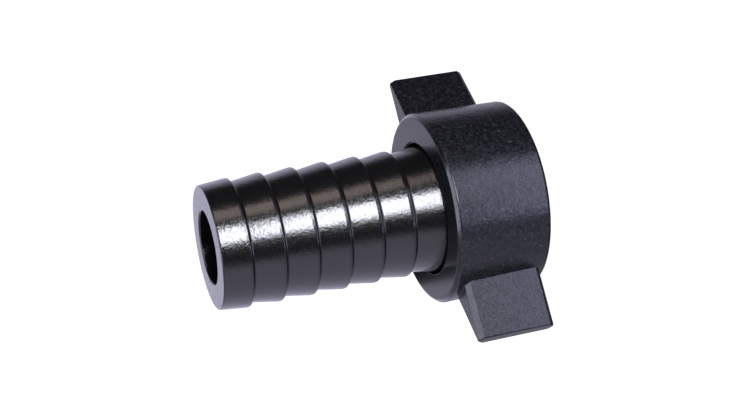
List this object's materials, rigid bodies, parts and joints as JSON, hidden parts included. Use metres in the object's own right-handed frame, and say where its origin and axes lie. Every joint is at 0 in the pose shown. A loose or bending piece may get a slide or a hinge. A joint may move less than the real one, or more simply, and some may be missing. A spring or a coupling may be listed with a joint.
{
  "type": "hose end fitting",
  "caption": "Plastic hose tail with ratchet barbs and a captive winged swivel nut that screws onto a male pipe thread.",
  "frame": {"origin": "centre of the nut's open rim, which the part stands on", "axes": "+Z along the water bore from the threaded socket to the hose tip, X along the two wings, Y across them"},
  "size_m": [0.0638, 0.041, 0.0678],
  "materials": {
    "tail_plastic": "glossy black moulding",
    "nut_plastic": "fine grained satin black moulding",
    "seal_rubber": "dull black rubber"
  },
  "bodies": {
    "tail": {"hose_tail": "tail_plastic"},
    "nut": {"wing_nut": "nut_plastic", "sealing_washer": "seal_rubber"}
  },
  "joints": [
    {"name": "nut_swivel", "type": "hinge", "parent": "tail", "child": "nut", "pos_m": [0, 0, 0.0168], "axis": [0, 0, 1], "continuous": true}
  ]
}
